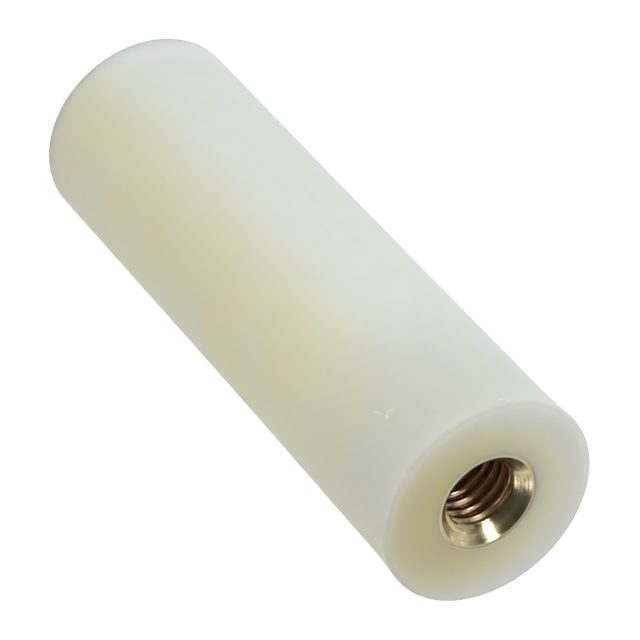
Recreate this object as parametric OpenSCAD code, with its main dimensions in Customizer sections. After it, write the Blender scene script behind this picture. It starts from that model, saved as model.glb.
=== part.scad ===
// Round female-female standoff: a nylon column moulded round a brass threaded insert at each end.
// It stands on its lower end face, centred on the Z axis. Sizes are in millimetres, and the
// nominal ones are inch sizes: 1/2 inch across, 1 5/8 inches long and tapped 10-32.

/* [Body] */
// Length from end face to end face
body_len = 41.275; // [32:0.5:100]
// Outer diameter of the nylon column
body_d = 12.7; // [9:0.1:25]
// Radius of the rounded edge round each end face
edge_r = 0.2; // [0.1:0.05:1]
// How far the upper end stands out, where the brass inside kept the nylon from shrinking
end_flare = 0.11; // [0.02:0.01:0.3]
// Length over which that flare dies away
flare_len = 2.8; // [1.5:0.1:8]

/* [Inserts] */
// Overall length of one insert
insert_len = 11; // [10.5:0.5:15]
// How far the face of an insert lies below the end face of the nylon
insert_recess = 0.12; // [0.02:0.02:1]
// Diameter of the plain necks at the two ends of an insert
neck_d = 6; // [5.8:0.1:6.4]
// Length of each plain neck
neck_len = 1.3; // [0.6:0.1:2.4]
// Chamfer round the closed end of an insert
end_chamfer = 0.4; // [0.1:0.1:0.6]
// Diameter over the points of the knurl
knurl_d = 7.2; // [6.9:0.1:8.6]
// Height of a knurl tooth
knurl_depth = 0.35; // [0.15:0.05:0.5]
// Number of teeth round the knurl
knurl_teeth = 28; // [18:2:40]
// Width of the groove between the two knurled bands
groove_w = 2; // [1:0.1:4]
// Diameter at the bottom of the groove
groove_d = 5.7; // [5.2:0.1:6.2]
// Gap left between nylon and brass, which is nil because the nylon is moulded on
mould_gap = 0; // [0:0.01:0.05]

/* [Tapped hole] */
// Nominal diameter of the thread
thread_d = 4.826; // [4:0.1:5.2]
// Turns of thread in one inch
thread_tpi = 32; // [20:4:56]
// Depth of the drilled hole at its full diameter, from the face of the insert
drill_depth = 8.6; // [5:0.2:9.2]
// Included angle of the drill's point
drill_angle = 118; // [90:1:140]
// Diameter of the countersink at the face of the insert
sink_d = 5.7; // [4.8:0.1:5.9]
// Included angle of the countersink
sink_angle = 90; // [60:5:120]

/* [Hidden] */

$fn = 96;

body_r = body_d / 2;
neck_r = neck_d / 2;
groove_r = groove_d / 2;

// Heights along an insert, from its open face at 0 to its closed end at insert_len
band_len = (insert_len - 2 * neck_len - groove_w) / 2;
lower_band_z = neck_len;
upper_band_z = neck_len + band_len + groove_w;

// A tap drill is one pitch smaller than the thread
inch = 25.4;
thread_pitch = inch / thread_tpi;
bore_r = (thread_d - thread_pitch) / 2;
drill_tip = bore_r / tan(drill_angle / 2);
sink_depth = (sink_d / 2 - bore_r) / tan(sink_angle / 2);

// Length by which a cutting shape runs past the face that it opens
cut_over = 1;

// Half of the column's section, flared at the upper end and with both outer edges rounded
module column_section() {
    top_r = body_r + end_flare;
    edge_top = body_len - edge_r;
    polygon([
        [0, 0],
        [body_r - edge_r, 0],
        [body_r - edge_r, edge_r],
        [body_r, edge_r],
        [body_r, body_len - flare_len],
        [top_r, edge_top],
        [top_r - edge_r, edge_top],
        [top_r - edge_r, body_len],
        [0, body_len]
    ]);
    translate([body_r - edge_r, edge_r]) circle(r = edge_r);
    translate([top_r - edge_r, edge_top]) circle(r = edge_r);
}

// Outline of the straight knurl: points and roots in turn round a circle
module knurl_outline(gap) {
    point_r = knurl_d / 2 + gap;
    half_pitch = 180 / knurl_teeth;
    polygon([
        for (i = [0 : 2 * knurl_teeth - 1])
            let (r = point_r - (i % 2) * knurl_depth)
                [r * cos(i * half_pitch), r * sin(i * half_pitch)]
    ]);
}

// Turned blank of an insert: two necks with a waist between them, chamfered at the closed end
module blank_section(gap) {
    neck_x = neck_r + gap;
    waist_x = groove_r + gap;
    tail_z = insert_len - neck_len;
    polygon([
        [0, 0],
        [neck_x, 0],
        [neck_x, neck_len],
        [waist_x, neck_len],
        [waist_x, tail_z],
        [neck_x, tail_z],
        [neck_x, insert_len + gap - end_chamfer],
        [neck_x - end_chamfer, insert_len + gap],
        [0, insert_len + gap]
    ]);
}

// Outer form of an insert, open face at z = 0 and body upwards, let out all round by a gap
module insert_form(gap = 0) {
    rotate_extrude() blank_section(gap);
    for (band_z = [lower_band_z, upper_band_z])
        translate([0, 0, band_z - gap])
            linear_extrude(band_len + 2 * gap) knurl_outline(gap);
}

// Section of the drilled and countersunk hole, which ends in the cone of the drill's point
module hole_section() {
    mouth_r = sink_d / 2 + cut_over * tan(sink_angle / 2);
    polygon([
        [0, -cut_over],
        [mouth_r, -cut_over],
        [bore_r, sink_depth],
        [bore_r, drill_depth],
        [0, drill_depth + drill_tip]
    ]);
}

module insert() {
    difference() {
        insert_form();
        rotate_extrude() hole_section();
    }
}

// Room for one insert in the nylon, carried on through the end face above it
module pocket() {
    insert_form(mould_gap);
    translate([0, 0, -insert_recess - cut_over])
        cylinder(r = neck_r + mould_gap, h = insert_recess + cut_over + neck_len);
}

// Places a child, drawn from its open face at z = 0 upwards, in the lower end of the column
module in_lower_end() {
    translate([0, 0, insert_recess]) children();
}

// The same in the upper end, turned over
module in_upper_end() {
    translate([0, 0, body_len - insert_recess]) rotate([180, 0, 0]) children();
}

module nylon_body() {
    color("ivory")
        difference() {
            rotate_extrude() column_section();
            in_lower_end() pocket();
            in_upper_end() pocket();
        }
}

module top_insert() {
    color("goldenrod") in_upper_end() insert();
}

module bottom_insert() {
    color("goldenrod") in_lower_end() insert();
}

nylon_body();
top_insert();
bottom_insert();
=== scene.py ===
import math

import bmesh
import bpy
from mathutils import Matrix, Vector


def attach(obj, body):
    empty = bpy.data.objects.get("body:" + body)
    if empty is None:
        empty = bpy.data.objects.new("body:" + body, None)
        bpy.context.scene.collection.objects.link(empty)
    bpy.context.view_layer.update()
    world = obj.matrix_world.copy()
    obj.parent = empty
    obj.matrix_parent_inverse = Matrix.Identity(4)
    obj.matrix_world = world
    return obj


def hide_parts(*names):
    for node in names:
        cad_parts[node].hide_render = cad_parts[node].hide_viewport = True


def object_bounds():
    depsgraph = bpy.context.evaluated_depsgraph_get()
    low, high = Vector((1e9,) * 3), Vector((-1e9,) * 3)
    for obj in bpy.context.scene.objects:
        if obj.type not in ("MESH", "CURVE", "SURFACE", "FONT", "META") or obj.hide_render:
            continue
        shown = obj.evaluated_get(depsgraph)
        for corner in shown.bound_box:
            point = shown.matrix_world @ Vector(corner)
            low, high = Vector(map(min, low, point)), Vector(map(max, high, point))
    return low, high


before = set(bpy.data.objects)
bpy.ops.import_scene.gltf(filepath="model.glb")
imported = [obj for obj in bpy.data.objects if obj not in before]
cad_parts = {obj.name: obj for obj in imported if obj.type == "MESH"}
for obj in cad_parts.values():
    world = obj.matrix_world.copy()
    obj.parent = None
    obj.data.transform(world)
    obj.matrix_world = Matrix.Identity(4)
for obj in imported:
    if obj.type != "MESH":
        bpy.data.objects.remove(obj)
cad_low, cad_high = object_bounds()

MM = 0.001


# ---------------------------------------------------------------------------------------
# Camera. A long lens looks down at 45 degrees on the tapped upper end and is rolled over,
# so that the standing column lies across the picture with its foot at the upper left.
# ---------------------------------------------------------------------------------------
camera_place = Vector((-0.05, -174.889, 197.405)) * MM
camera_tilt = math.radians(45.034)
camera_roll = math.radians(137.102)
lens_length = 244.67
sensor_width = 36.0
nearest_seen = 10 * MM
farthest_seen = 20

bpy.ops.object.select_all(action="DESELECT")
bpy.ops.object.camera_add(location=camera_place)
camera = bpy.context.object
camera.name = "camera"
camera.data.lens = lens_length
camera.data.sensor_width = sensor_width
camera.data.clip_start = nearest_seen
camera.data.clip_end = farthest_seen
look_down = Matrix.Rotation(math.pi / 2 - camera_tilt, 4, "X")
roll_over = Matrix.Rotation(camera_roll, 4, "Z")
camera.matrix_world = Matrix.Translation(camera_place) @ look_down @ roll_over
bpy.context.scene.camera = camera
bpy.context.scene.view_settings.view_transform = "Standard"


# ---------------------------------------------------------------------------------------
# Inserts. Each is a brass bushing turned from bar: two straight-knurled bands that the
# nylon grips, with a groove between them, a countersunk mouth, a blind drilled hole and a
# right-hand 10-32 thread cut with a tap. They sit in the mould before the nylon goes in.
# ---------------------------------------------------------------------------------------
ring_steps = 112
insert_length = 11 * MM
insert_recess = 0.12 * MM
neck_radius = 3.0 * MM
neck_length = 1.3 * MM
tail_chamfer = 0.4 * MM
groove_radius = 2.85 * MM
groove_width = 2.0 * MM
knurl_teeth = 28
knurl_point_radius = 3.6 * MM
knurl_root_radius = 3.25 * MM
sink_radius = 2.85 * MM
bore_radius = 2.016 * MM
bore_depth = 8.6 * MM
drill_point = 1.21 * MM
drill_tip_radius = 0.02 * MM
sharp_edge = math.radians(28)
merge_distance = 0.0005 * MM
over = 1.0 * MM


def edit_alone(piece):
    """Selects one piece on its own and opens it in edit mode with all of it selected."""
    if bpy.context.object and bpy.context.object.mode != "OBJECT":
        bpy.ops.object.mode_set(mode="OBJECT")
    bpy.ops.object.select_all(action="DESELECT")
    piece.select_set(True)
    bpy.context.view_layer.objects.active = piece
    bpy.ops.object.mode_set(mode="EDIT")
    bpy.ops.mesh.select_all(action="SELECT")


def finish_edit(piece):
    """Merges doubles, turns every face outwards and goes back to object mode."""
    bpy.ops.mesh.select_all(action="SELECT")
    bpy.ops.mesh.remove_doubles(threshold=merge_distance)
    bpy.ops.mesh.normals_make_consistent(inside=False)
    bpy.ops.object.mode_set(mode="OBJECT")
    return piece


def select_points(piece, wanted):
    """In edit mode, selects only the points whose place passes a test."""
    bpy.ops.mesh.select_mode(type="VERT")
    bpy.ops.mesh.select_all(action="DESELECT")
    shape = bmesh.from_edit_mesh(piece.data)
    for point in shape.verts:
        if wanted(point.co):
            point.select_set(True)
    shape.select_flush(True)
    bmesh.update_edit_mesh(piece.data)


def turn_on_lathe(name, stations, steps):
    """Draws a disc up the axis through stations of (height, radius) into a round solid."""
    height, radius = stations[0]
    bpy.ops.object.select_all(action="DESELECT")
    bpy.ops.mesh.primitive_circle_add(vertices=steps, radius=radius, fill_type="NGON")
    piece = bpy.context.object
    piece.name = name
    piece.data.name = name
    edit_alone(piece)
    bpy.ops.transform.translate(value=(0, 0, height))
    for next_height, next_radius in stations[1:]:
        rise = (0, 0, next_height - height)
        bpy.ops.mesh.extrude_region_move(TRANSFORM_OT_translate={"value": rise})
        growth = next_radius / radius
        bpy.ops.transform.resize(value=(growth, growth, 1), center_override=(0, 0, 0))
        height, radius = next_height, next_radius
    return finish_edit(piece)


def combine(piece, other, operation):
    """Joins, cuts or trims a piece with another solid, which is used up."""
    bpy.ops.object.select_all(action="DESELECT")
    piece.select_set(True)
    bpy.context.view_layer.objects.active = piece
    step = piece.modifiers.new("combine", "BOOLEAN")
    step.operation = operation
    step.solver = "EXACT"
    step.material_mode = "TRANSFER"
    step.object = other
    bpy.ops.object.modifier_apply(modifier=step.name)
    bpy.data.objects.remove(other)
    return piece


def copy_piece(piece, name):
    """Copies a piece with its own mesh."""
    twin = piece.copy()
    twin.data = piece.data.copy()
    twin.name = name
    twin.data.name = name
    bpy.context.scene.collection.objects.link(twin)
    return twin


def place(piece, height, upside_down):
    """Puts a piece drawn from its open face upwards at a height, and bakes that in its mesh."""
    bpy.ops.object.select_all(action="DESELECT")
    piece.select_set(True)
    bpy.context.view_layer.objects.active = piece
    piece.location = (0, 0, height)
    piece.rotation_euler = (math.pi if upside_down else 0, 0, 0)
    bpy.ops.object.transform_apply(location=True, rotation=True, scale=True)
    return piece


def is_between_teeth(at):
    """Whether a corner of a knurled band lies at the root between two teeth."""
    return round(math.atan2(at.x, at.y) / (math.pi / knurl_teeth)) % 2 == 1


# Turned blank. Its groove reaches halfway under each band, and the bands are joined on.
band_length = (insert_length - 2 * neck_length - groove_width) / 2
band_low = neck_length
band_high = neck_length + band_length + groove_width
mid_low_band = band_low + band_length / 2
mid_high_band = band_high + band_length / 2
blank = turn_on_lathe("blank", [
    (0, neck_radius),
    (mid_low_band, neck_radius),
    (mid_low_band, groove_radius),
    (mid_high_band, groove_radius),
    (mid_high_band, neck_radius),
    (insert_length - tail_chamfer, neck_radius),
    (insert_length, neck_radius - tail_chamfer),
], ring_steps)

knurl_shrink = knurl_root_radius / knurl_point_radius
for band_start in (band_low, band_high):
    band = turn_on_lathe("band", [
        (band_start, knurl_point_radius),
        (band_start + band_length, knurl_point_radius),
    ], 2 * knurl_teeth)
    edit_alone(band)
    select_points(band, is_between_teeth)
    bpy.ops.transform.resize(
        value=(knurl_shrink, knurl_shrink, 1), center_override=(0, 0, 0))
    finish_edit(band)
    combine(blank, band, "UNION")

# Drill and countersink
drill = turn_on_lathe("drill", [
    (-over, sink_radius + over),
    (sink_radius - bore_radius, bore_radius),
    (bore_depth, bore_radius),
    (bore_depth + drill_point, drill_tip_radius),
], ring_steps)
insert = combine(copy_piece(blank, "insert"), drill, "DIFFERENCE")

# Tap. Between two turns it is hollowed with a radius, so that it leaves rounded crests in
# the hole. One pitch of that profile is screwed along the axis and trimmed flat at both
# ends, and is then trimmed by the room, which tapers its tip. Tap, room and hole differ in
# their numbers of steps, so that none of their points coincide.
thread_pitch = 0.79375 * MM
thread_radius = 2.413 * MM
thread_flat = 0.09 * MM
thread_depth = 7.8 * MM
thread_turns = 12
thread_steps = 108
flank_angle = math.radians(60)
crest_round = 0.23 * MM
crest_steps = 4
tap_start = 8.051 * MM
tap_low = -0.5 * MM
tap_taper = 1.6 * MM
tip_inset = 0.09 * MM
room_steps = 90
room_clearance = 0.01 * MM
room_overrun = 0.1 * MM

half_space = (thread_pitch - thread_flat) / 2
sharp_crest = thread_radius - half_space * math.tan(flank_angle)
crest_centre = sharp_crest + 2 * crest_round
profile = []
for step in range(crest_steps + 1):
    lean = flank_angle * step / crest_steps
    profile.append((crest_centre - crest_round * math.cos(lean), crest_round * math.sin(lean)))
profile.append((thread_radius, half_space))
profile += [(radius, thread_pitch - rise) for radius, rise in reversed(profile)]

bpy.ops.object.select_all(action="DESELECT")
bpy.ops.mesh.primitive_plane_add(size=thread_pitch)
tap = bpy.context.object
tap.name = "tap"
edit_alone(tap)
bpy.ops.mesh.merge(type="CENTER")
bpy.ops.transform.translate(value=(profile[0][0], 0, tap_start))
for (radius, rise), (next_radius, next_rise) in zip(profile, profile[1:]):
    bpy.ops.mesh.extrude_region_move(TRANSFORM_OT_translate={
        "value": (next_radius - radius, 0, next_rise - rise)})
bpy.ops.mesh.select_all(action="SELECT")
bpy.ops.mesh.screw(
    steps=thread_steps, turns=thread_turns, center=(0, 0, 0), axis=(0, 0, -1))
bpy.ops.mesh.select_all(action="SELECT")
bpy.ops.mesh.remove_doubles(threshold=merge_distance)
bpy.ops.mesh.bisect(
    plane_co=(0, 0, tap_low), plane_no=(0, 0, 1), clear_inner=True,
    threshold=merge_distance)
bpy.ops.mesh.select_all(action="SELECT")
bpy.ops.mesh.bisect(
    plane_co=(0, 0, thread_depth), plane_no=(0, 0, 1), clear_outer=True,
    threshold=merge_distance)
bpy.ops.mesh.select_all(action="SELECT")
bpy.ops.mesh.fill_holes(sides=0)
finish_edit(tap)

room = turn_on_lathe("tap_room", [
    (-over, thread_radius + over),
    (thread_depth - tap_taper, thread_radius + room_clearance),
    (thread_depth + room_overrun, bore_radius - tip_inset),
], room_steps)
combine(tap, room, "INTERSECT")
combine(insert, tap, "DIFFERENCE")
edit_alone(insert)
finish_edit(insert)
bpy.ops.object.shade_smooth_by_angle(angle=sharp_edge)


def add_node(tree, kind, feeds=None, **settings):
    """Adds a shader node with its settings, and feeds its inputs with links or plain values."""
    node = tree.nodes.new("ShaderNode" + kind)
    for name, value in settings.items():
        setattr(node, name, value)
    for socket, source in (feeds or {}).items():
        if isinstance(source, bpy.types.NodeSocket):
            tree.links.new(source, node.inputs[socket])
        else:
            node.inputs[socket].default_value = source
    return node


def new_material(name):
    """Makes a material with one Principled shader, and returns it, its tree and that shader."""
    material = bpy.data.materials.new(name)
    material.use_nodes = True
    tree = material.node_tree
    return material, tree, tree.nodes["Principled BSDF"]


def calculate(tree, operation, first, second):
    """Adds, multiplies or compares two values."""
    return add_node(tree, "Math", {0: first, 1: second}, operation=operation).outputs[0]


def fade(tree, value, start, end, at_start, at_end):
    """Carries a value smoothly from one level to another between two places."""
    ramp = add_node(tree, "MapRange", {
        "Value": value, "From Min": start, "From Max": end,
        "To Min": at_start, "To Max": at_end}, interpolation_type="SMOOTHSTEP")
    return ramp.outputs["Result"]


def mix_colours(tree, share, first, second):
    """Blends two colours or colour sockets by a share from 0 to 1, and returns the result."""
    share_socket, first_socket, second_socket, result_socket = 0, 6, 7, 2
    mix = add_node(tree, "Mix", data_type="RGBA")
    tree.links.new(share, mix.inputs[share_socket])
    for socket, source in ((first_socket, first), (second_socket, second)):
        if isinstance(source, bpy.types.NodeSocket):
            tree.links.new(source, mix.inputs[socket])
        else:
            mix.inputs[socket].default_value = source
    return mix.outputs[result_socket]


def distance_from_axis(tree, place_socket):
    """Distance of each point from the vertical axis, in metres."""
    flat = add_node(tree, "VectorMath", {0: place_socket, 1: (1, 1, 0)}, operation="MULTIPLY")
    length = add_node(tree, "VectorMath", {0: flat.outputs["Vector"]}, operation="LENGTH")
    return length.outputs["Value"]


def distance_from_middle(tree, place_socket):
    """Distance of each point from the level halfway up the column, in metres."""
    height = add_node(tree, "SeparateXYZ", {0: place_socket}).outputs["Z"]
    above = calculate(tree, "SUBTRACT", height, cad_high.z / 2)
    return calculate(tree, "ABSOLUTE", above, 0.0)


def noise(tree, vector, spacing, detail, **settings):
    """Smooth noise from 0 to 1, whose swells lie about one spacing apart."""
    pattern = add_node(tree, "TexNoise", {
        "Vector": vector, "Scale": 1 / spacing, "Detail": detail}, **settings)
    return pattern.outputs["Fac"]


def raise_pattern(tree, pattern, height, on_top_of=None):
    """Raises a pattern by a height, and returns the normal that this gives the surface."""
    feeds = {"Height": pattern, "Distance": height, "Strength": 1.0}
    if on_top_of is not None:
        feeds["Normal"] = on_top_of
    return add_node(tree, "Bump", feeds).outputs["Normal"]


# Brass with the rings that the tool left. It is dulled in patches, painted browner and
# darker down the hole as shade of the light fading there, and duller on the flat round the
# countersink, which the hot nylon touched.
bright_brass = (0.80, 0.70, 0.42, 1)
dull_brass = (0.58, 0.48, 0.26, 1)
brass_bore_shade = (0.62, 0.42, 0.25, 1)
touched_brass = (0.60, 0.54, 0.36, 1)
deep_from = 0.6 * MM
deep_to = 2.0 * MM
touched_from = 2.78 * MM
touched_to = 2.86 * MM
ring_spacing = 0.28 * MM
ring_height = 0.02 * MM
ring_detail = 2.5
dent_spacing = 0.75 * MM
dent_height = 0.024 * MM
dent_detail = 1.5
dull_from = 0.35
dull_to = 0.75
rough_from = 0.3
rough_to = 0.7
least_roughness = 0.16
most_roughness = 0.3

brass, tree, shader = new_material("turned brass")
where = add_node(tree, "TexCoord").outputs["Object"]
away = distance_from_axis(tree, where)
from_middle = distance_from_middle(tree, where)
along = add_node(tree, "CombineXYZ", {0: away, 1: from_middle}).outputs[0]
rings = noise(tree, along, ring_spacing, ring_detail, noise_dimensions="2D")
dents = noise(tree, where, dent_spacing, dent_detail)

mouth_level = cad_high.z / 2 - insert_recess
dulled = fade(tree, dents, dull_from, dull_to, 0.0, 1.0)
bore_shade_mask = fade(tree, from_middle, mouth_level - deep_to, mouth_level - deep_from, 1.0, 0.0)
touched = fade(tree, away, touched_from, touched_to, 0.0, 1.0)
tone = mix_colours(tree, dulled, bright_brass, dull_brass)
# Painted shade: browner and darker down the hole, where the light fades
tone = mix_colours(tree, bore_shade_mask, tone, brass_bore_shade)
tone = mix_colours(tree, touched, tone, touched_brass)
roughness = fade(tree, rings, rough_from, rough_to, least_roughness, most_roughness)
surface = raise_pattern(tree, rings, ring_height)
surface = raise_pattern(tree, dents, dent_height, surface)
shader.inputs["Metallic"].default_value = 1.0
tree.links.new(tone, shader.inputs["Base Color"])
tree.links.new(roughness, shader.inputs["Roughness"])
tree.links.new(surface, shader.inputs["Normal"])

top_insert = place(copy_piece(insert, "top_brass_insert"), cad_high.z - insert_recess, True)
bottom_insert = place(copy_piece(insert, "bottom_brass_insert"), insert_recess, False)
for piece, node in ((top_insert, "top_insert"), (bottom_insert, "bottom_insert")):
    piece.data.materials.clear()
    piece.data.materials.append(brass)
    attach(piece, "root")
    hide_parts(node)
bpy.data.objects.remove(insert)


# ---------------------------------------------------------------------------------------
# Column. Natural nylon moulded in one shot round both inserts, so it grips their knurls.
# It shrank as it cooled, a little at mid-length and not where the brass held it out.
# ---------------------------------------------------------------------------------------
column_steps = 192
column_height = cad_high.z
column_radius = 6.32 * MM
edge_radius = 0.2 * MM
edge_steps = 6
waist_depth = 0.05 * MM
flare_height = 0.13 * MM
flare_length = 2.8 * MM
flare_power = 1.5
body_rings = 34
face_rings = (3.4 * MM, 4.4 * MM, 5.4 * MM)
seat_growth = (1.004, 1.004, 1.001)
soft_edge = math.radians(40)


def column_radius_at(height):
    """Radius of the outside at a height: a shallow waist and the flare at the upper end."""
    along = height / column_height
    waist = waist_depth * math.sin(math.pi * along) ** 2
    up = max(0.0, (height - (column_height - flare_length)) / flare_length)
    return column_radius - waist + flare_height * up ** flare_power


stations = [(0, radius) for radius in face_rings]
foot = column_radius_at(0) - edge_radius
for step in range(edge_steps + 1):
    turn = math.pi / 2 * step / edge_steps
    stations.append((edge_radius * (1 - math.cos(turn)), foot + edge_radius * math.sin(turn)))
for ring in range(1, body_rings):
    height = edge_radius + (column_height - 2 * edge_radius) * ring / body_rings
    stations.append((height, column_radius_at(height)))
head = column_radius_at(column_height) - edge_radius
for step in range(edge_steps + 1):
    turn = math.pi / 2 * (1 - step / edge_steps)
    stations.append((column_height - edge_radius * (1 - math.cos(turn)),
                     head + edge_radius * math.sin(turn)))
stations += [(column_height, radius) for radius in reversed(face_rings)]
column = turn_on_lathe("nylon_column", stations, column_steps)

# Seats of the inserts, a hair larger than the brass, with their mouths in the end faces
for height, upside_down in ((column_height - insert_recess, True), (insert_recess, False)):
    seat = copy_piece(blank, "seat")
    mouth = turn_on_lathe("mouth", [
        (-insert_recess - over, neck_radius),
        (neck_length / 2, neck_radius),
    ], ring_steps)
    combine(seat, mouth, "UNION")
    edit_alone(seat)
    bpy.ops.transform.resize(value=seat_growth, center_override=(0, 0, 0))
    finish_edit(seat)
    combine(column, place(seat, height, upside_down), "DIFFERENCE")
bpy.data.objects.remove(blank)

# Knocks from handling: one deep nick of three strokes, a knock on the edge, and faint
# dimples. Only the deep ones whitened the nylon. Each is (turn in degrees, height, length,
# width and depth in millimetres, slant in degrees).
knocks = (
    (-80.8, 36.68, 1.05, 0.20, 0.06, 25),
    (-82.7, 37.40, 0.46, 0.36, 0.08, -19),
    (-85.4, 37.22, 0.50, 0.20, 0.06, 68),
    (-132.5, 40.86, 0.90, 0.17, 0.045, 58),
    (-97.9, 38.17, 0.30, 0.20, 0.02, 60),
    (-87.7, 40.08, 0.36, 0.28, 0.02, 0),
    (-73.8, 38.64, 0.28, 0.22, 0.02, 20),
    (-101.0, 39.55, 0.55, 0.14, 0.015, 50),
    (-80.1, 11.43, 0.34, 0.26, 0.02, 0),
    (-69.7, 17.84, 0.50, 0.18, 0.02, 30),
)
knock_lift = 1.0
knock_segments = 16
knock_rings = 8
whitening_depth = 0.025 * MM

nylon, nylon_tree, nylon_shader = new_material("moulded natural nylon")
whitened, whitened_tree, whitened_shader = new_material("whitened nylon")
column.data.materials.clear()
column.data.materials.append(nylon)
for turn, height, length, width, depth, slant in knocks:
    turn = math.radians(turn)
    depth = depth * MM
    reach = column_radius_at(height * MM) + knock_lift * depth
    bpy.ops.object.select_all(action="DESELECT")
    bpy.ops.mesh.primitive_uv_sphere_add(
        segments=knock_segments, ring_count=knock_rings, radius=1,
        location=(reach * math.cos(turn), reach * math.sin(turn), height * MM),
        rotation=(math.radians(slant), 0, turn),
        scale=((1 + knock_lift) * depth, width / 2 * MM, length / 2 * MM))
    gouge = bpy.context.object
    gouge.data.materials.append(whitened if depth > whitening_depth else nylon)
    combine(column, gouge, "DIFFERENCE")

bpy.ops.object.select_all(action="DESELECT")
column.select_set(True)
bpy.context.view_layer.objects.active = column
bpy.ops.object.shade_smooth_by_angle(angle=soft_edge)


def multiply(tree, first, *others):
    """Product of two or more values."""
    for other in others:
        first = calculate(tree, "MULTIPLY", first, other)
    return first


def distance_towards(tree, place_socket, turn):
    """How far each point lies out from the axis in one direction, in metres."""
    direction = (math.cos(turn), math.sin(turn), 0)
    along = add_node(tree, "VectorMath", {0: place_socket, 1: direction}, operation="DOT_PRODUCT")
    return along.outputs["Value"]


# Tones of the nylon by height: clear nylon over the middle, a greyer collar over the upper
# insert that is painted shade of the brass inside, and painted light on the foot that lifts
# the shade where it stands on the floor
middle_skin = (0.885, 0.93, 0.85, 1)
collar_painted_shade = (0.79, 0.825, 0.80, 1)
foot_painted_light = (0.95, 0.975, 0.935, 1)
face_skin = (0.885, 0.905, 0.84, 1)
face_depth = 0.35 * MM
middle_from = 10 * MM
middle_share_at_foot = 0.55
collar_from = 27 * MM
collar_to = 39 * MM
foot_light_height = 4 * MM
foot_light_share = 0.9

tree = nylon_tree
where = add_node(tree, "TexCoord").outputs["Object"]
height = add_node(tree, "SeparateXYZ", {0: where}).outputs["Z"]
half = column_height / 2
face = fade(tree, distance_from_middle(tree, where), half - face_depth, half, 0.0, 1.0)
middle = multiply(
    tree,
    fade(tree, height, 0.0, middle_from, middle_share_at_foot, 1.0),
    fade(tree, height, collar_from, collar_to, 1.0, 0.0))
# The collar is painted shade of the upper insert inside the nylon
skin = mix_colours(tree, middle, collar_painted_shade, middle_skin)
# Painted light on the foot, which lifts the shade where it stands on the floor
skin = mix_colours(tree, fade(tree, height, 0.0, foot_light_height, foot_light_share, 0.0), skin, foot_painted_light)
skin = mix_colours(tree, face, skin, face_skin)

# Painted light: one side is yellow, in clouds, as light that passed through the nylon shows
# on its shaded side. On the faces a yellow ring round each mouth is painted light, the
# brass glowing through the nylon.
through_light_yellow = (0.90, 0.86, 0.575, 1)
through_light_turn = math.radians(-45)
through_light_from = 0.28
through_light_share = 0.85
through_light_share_at_foot = 0.85
through_light_height = 12 * MM
cloud_spacing = 4.0 * MM
cloud_detail = 3.0
cloud_from = 0.3
cloud_to = 0.7
cloud_low = 0.85
cloud_high = 1.15
mouth_glow_tone = (0.99, 0.95, 0.60, 1)
mouth_glow_outer = 6.0 * MM
mouth_glow_share = 0.85

clouds = noise(tree, where, cloud_spacing, cloud_detail)
off_face = fade(tree, face, 0.0, 1.0, 1.0, 0.0)
towards_through_light = distance_towards(tree, where, through_light_turn)
painted_through_light = multiply(
    tree,
    fade(tree, towards_through_light, through_light_from * column_radius, column_radius, 0.0, through_light_share),
    fade(tree, height, 0.0, through_light_height, through_light_share_at_foot, 1.0),
    off_face,
    fade(tree, clouds, cloud_from, cloud_to, cloud_low, cloud_high))
away = distance_from_axis(tree, where)
ring = multiply(tree, fade(tree, away, neck_radius, mouth_glow_outer, mouth_glow_share, 0.0), face)
# Painted light that passed through the nylon to its shaded side
skin = mix_colours(tree, painted_through_light, skin, through_light_yellow)
# Painted glow of the brass through the nylon round each mouth
skin = mix_colours(tree, ring, skin, mouth_glow_tone)

# Painted shade darkens the front of the upper end, over the brass inside, and mottling runs all
# over
shaded_skin = (0.76, 0.785, 0.675, 1)
shaded_turn = math.radians(-84)
shaded_share = 0.92
shaded_from = 28 * MM
shaded_to = 39 * MM
mottled_skin = (0.74, 0.74, 0.66, 1)
mottled_share = 0.1
mottled_from = 0.35
mottled_to = 0.65
swell_spacing = 2.2 * MM
swell_height = 0.02 * MM
fine_detail = 2.0

towards_shade = distance_towards(tree, where, shaded_turn)
shaded = multiply(
    tree,
    fade(tree, towards_shade, 0.0, column_radius, 0.0, shaded_share),
    fade(tree, height, shaded_from, shaded_to, 0.0, 1.0),
    off_face)
# Painted shade on the front of the upper end
skin = mix_colours(tree, shaded, skin, shaded_skin)
swell = noise(tree, where, swell_spacing, fine_detail)
mottled = fade(tree, swell, mottled_from, mottled_to, 0.0, mottled_share)
skin = mix_colours(tree, mottled, skin, mottled_skin)

# On the faces the nylon is painted brown over the insert, more so on one side, as shade of
# the brass seen through it, and the rim is painted darker, shade that dims the light line
# on its rounded edge
painted_brass_shade = (0.77, 0.69, 0.36, 1)
halo_centre = (1.7 * MM, -1.2 * MM, 0)
halo_inner = 2.0 * MM
halo_outer = 6.8 * MM
halo_share = 0.9
rim_painted_shade = (0.70, 0.71, 0.61, 1)
rim_inner = 6.12 * MM
rim_outer = 6.4 * MM

from_halo = add_node(tree, "VectorMath", {0: where, 1: halo_centre}, operation="SUBTRACT")
from_halo = distance_from_axis(tree, from_halo.outputs["Vector"])
brass_shade_mask = multiply(tree, fade(tree, from_halo, halo_inner, halo_outer, halo_share, 0.0), face)
rim_shade_mask = multiply(tree, face, fade(tree, away, rim_inner, rim_outer, 0.0, 1.0))
# Painted shade of the brass through the nylon, offset to one side
skin = mix_colours(tree, brass_shade_mask, skin, painted_brass_shade)
# Painted shade on the rim, over the light line of its rounded edge
skin = mix_colours(tree, rim_shade_mask, skin, rim_painted_shade)

# Satin surface with faint swells and grain. Light goes a millimetre or two into it.
grain_spacing = 0.16 * MM
grain_height = 0.003 * MM
nylon_roughness = 0.6
nylon_gloss = 0.3
light_reach = (1.6, 1.5, 1.2)

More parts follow.
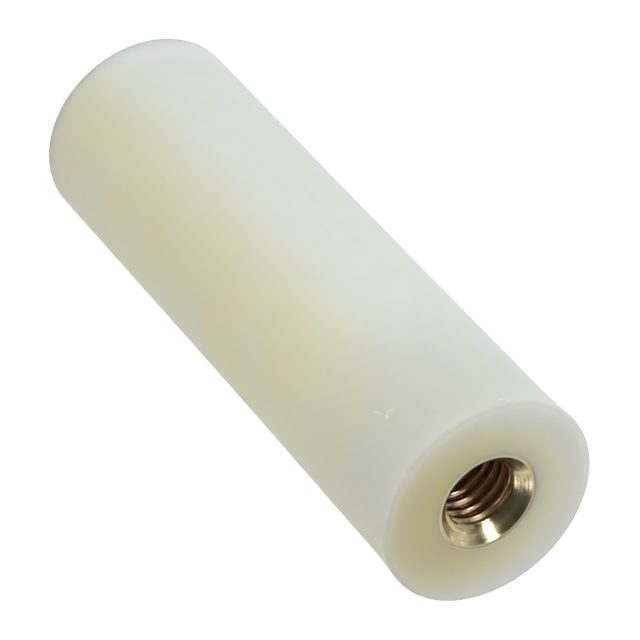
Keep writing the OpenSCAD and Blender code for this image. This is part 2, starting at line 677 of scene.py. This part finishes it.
grain = noise(tree, where, grain_spacing, fine_detail)
surface = raise_pattern(tree, swell, swell_height)
surface = raise_pattern(tree, grain, grain_height, surface)
tree.links.new(skin, nylon_shader.inputs["Base Color"])
tree.links.new(surface, nylon_shader.inputs["Normal"])
nylon_shader.inputs["Roughness"].default_value = nylon_roughness
nylon_shader.inputs["Specular IOR Level"].default_value = nylon_gloss
nylon_shader.inputs["Subsurface Weight"].default_value = 1.0
nylon_shader.inputs["Subsurface Radius"].default_value = light_reach
nylon_shader.inputs["Subsurface Scale"].default_value = MM

# Whitened nylon in the deep knocks, which lets no light in
whitened_low = (0.82, 0.83, 0.82, 1)
whitened_high = (0.95, 0.95, 0.95, 1)
crumb_spacing = 0.12 * MM
crumb_height = 0.01 * MM
whitened_roughness = 0.7

tree = whitened_tree
where = add_node(tree, "TexCoord").outputs["Object"]
crumbs = noise(tree, where, crumb_spacing, fine_detail)
tone = mix_colours(tree, crumbs, whitened_low, whitened_high)
surface = raise_pattern(tree, crumbs, crumb_height)
tree.links.new(tone, whitened_shader.inputs["Base Color"])
tree.links.new(surface, whitened_shader.inputs["Normal"])
whitened_shader.inputs["Roughness"].default_value = whitened_roughness

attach(column, "root")
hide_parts("nylon_body")


# ---------------------------------------------------------------------------------------
# Studio. The column stands on white paper, in a light tent that is open at the top, with
# soft lamps round it.
# ---------------------------------------------------------------------------------------
# The paper lights the column like plain white paper. Seen directly, in metal or through
# glass, it glows as if lit from behind, so that it shows white and keeps a faint shadow.
floor_size = 1.2
paper_white = (0.8, 0.8, 0.8, 1)
shadow_paper = (0.5, 0.5, 0.5, 1)
paper_glow = 0.84

bpy.ops.object.select_all(action="DESELECT")
bpy.ops.mesh.primitive_plane_add(size=floor_size)
floor = bpy.context.object
floor.name = "floor"
paper = bpy.data.materials.new("white paper")
paper.use_nodes = True
tree = paper.node_tree
tree.nodes.clear()
sheet = add_node(tree, "BsdfDiffuse", {"Color": paper_white})
shade = add_node(tree, "BsdfDiffuse", {"Color": shadow_paper})
glow = add_node(tree, "Emission", {"Strength": paper_glow})
backlit = add_node(tree, "AddShader", {0: shade.outputs[0], 1: glow.outputs[0]})
ray = add_node(tree, "LightPath")
seen = calculate(tree, "MAXIMUM", ray.outputs["Is Camera Ray"], ray.outputs["Is Glossy Ray"])
seen = calculate(tree, "MAXIMUM", seen, ray.outputs["Is Transmission Ray"])
blend = add_node(tree, "MixShader", {0: seen, 1: sheet.outputs[0], 2: backlit.outputs[0]})
add_node(tree, "OutputMaterial", {"Surface": blend.outputs[0]})
floor.data.materials.append(paper)

# Sky by height of view, 0 at the horizon and 1 overhead: white walls and a dim opening
wall_top = 0.18
opening_edge = 0.42
opening_level = 0.05
sky_white = (1, 1, 1, 1)

world = bpy.data.worlds.new("studio")
bpy.context.scene.world = world
world.use_nodes = True
tree = world.node_tree
look = add_node(tree, "TexCoord").outputs["Generated"]
up = add_node(tree, "SeparateXYZ", {0: look}).outputs["Z"]
level = fade(tree, up, wall_top, opening_edge, 1.0, opening_level)
back = tree.nodes["Background"]
back.inputs["Color"].default_value = sky_white
tree.links.new(level, back.inputs["Strength"])

# Lamps, as (name, azimuth, elevation and half angle in degrees, brightness). Brightness is
# what a lamp adds to a white surface that faces it. The key makes the countersink glint.
lamps = (
    ("key", 222, 43, 5, 0.15),
    ("low_key", 229, 14, 22, 0.205),
    ("top_lamp", 208, 68, 14, 0.06),
    ("front_card", 305, 10, 22, 0.16),
    ("far_card", 5, 14, 16, 0.10),
    ("side_card", 172, 22, 20, 0.05),
    ("back_lamp", 120, 50, 30, 0.275),
    ("rear_card", 85, 8, 24, 0.08),
)
lamp_distance = 0.5
level_to_watts = math.pi ** 2 * lamp_distance ** 2

middle_point = Vector((0, 0, column_height / 2))
for name, azimuth, elevation, half_angle, brightness in lamps:
    turn = math.radians(azimuth)
    rise = math.radians(elevation)
    towards = Vector((math.cos(rise) * math.cos(turn), math.cos(rise) * math.sin(turn),
                      math.sin(rise)))
    bpy.ops.object.light_add(type="AREA", location=middle_point + towards * lamp_distance)
    lamp = bpy.context.object
    lamp.name = name
    lamp.data.shape = "DISK"
    lamp.data.size = 2 * lamp_distance * math.tan(math.radians(half_angle))
    lamp.data.energy = brightness * level_to_watts
    lamp.rotation_euler = (-towards).to_track_quat("-Z", "Y").to_euler()
